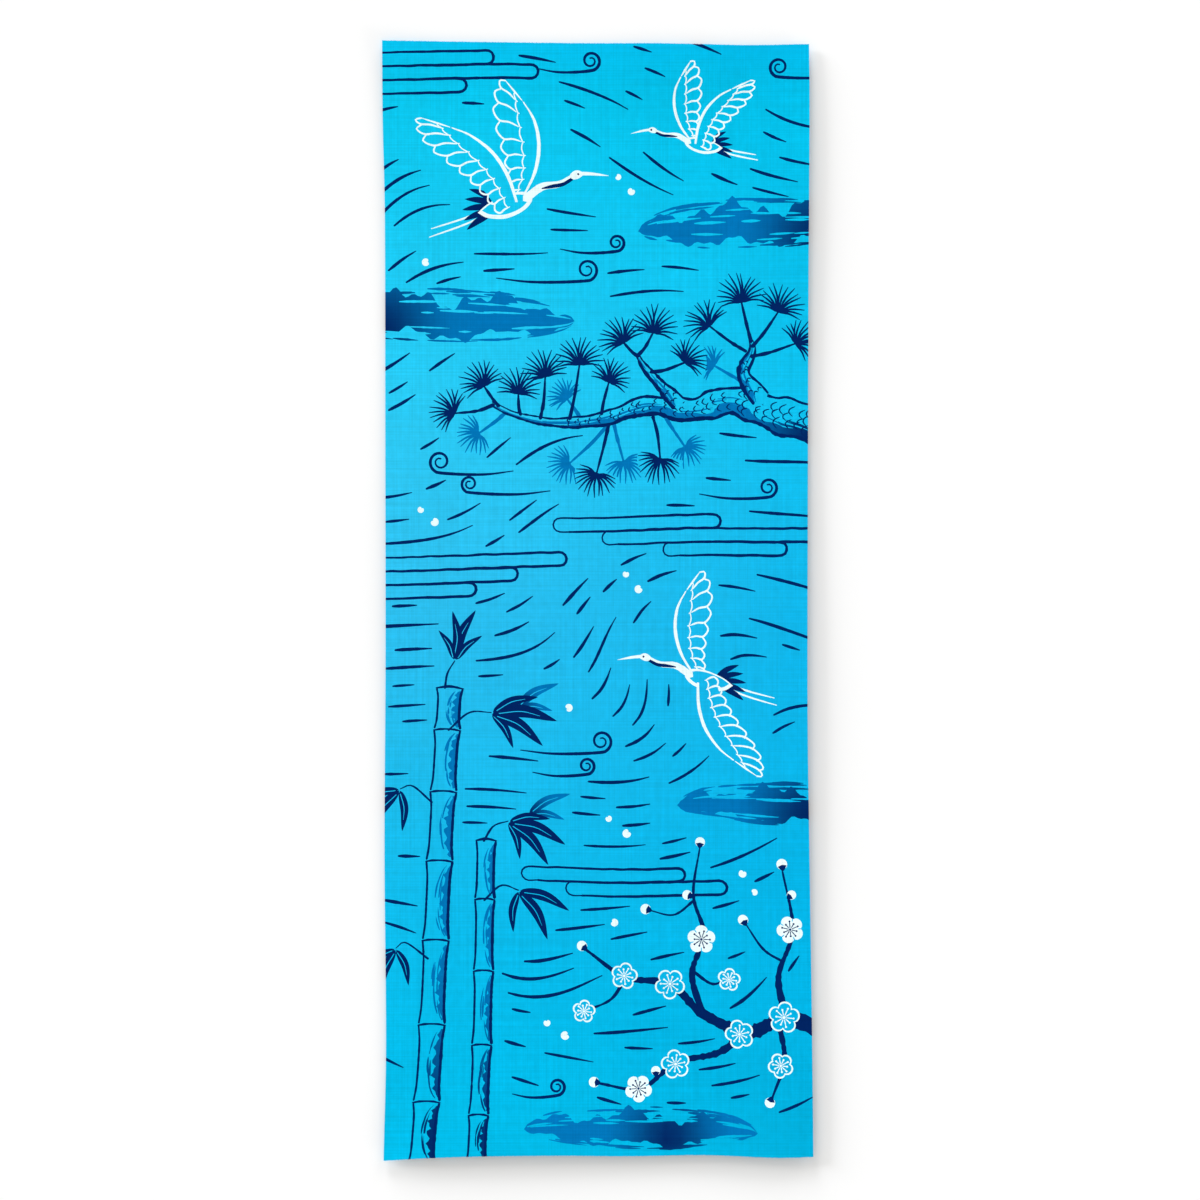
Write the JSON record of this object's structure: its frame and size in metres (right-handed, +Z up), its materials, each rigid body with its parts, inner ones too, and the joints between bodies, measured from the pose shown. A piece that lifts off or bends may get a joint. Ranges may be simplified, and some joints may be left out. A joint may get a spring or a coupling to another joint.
{
  "type": "tenugui towel",
  "caption": "Long thin cotton hand towel with raw cut ends, lying open and face up, resist-dyed sky blue with a navy and white picture of pine, bamboo, plum and flying cranes.",
  "frame": {"origin": "centre of the cloth's bounding box in plan, on the surface that the cloth lies on", "axes": "+X across the cloth from selvedge to selvedge, +Y along its length towards the picture's top, +Z up out of the printed face"},
  "size_m": [0.349, 0.9068, 0.0068],
  "materials": {
    "dyed_cotton": "matt plain-woven cotton, dyed through in sky blue with navy, mid-blue and white"
  },
  "bodies": {
    "root": {"towel_cloth": "dyed_cotton"}
  },
  "joints": []
}
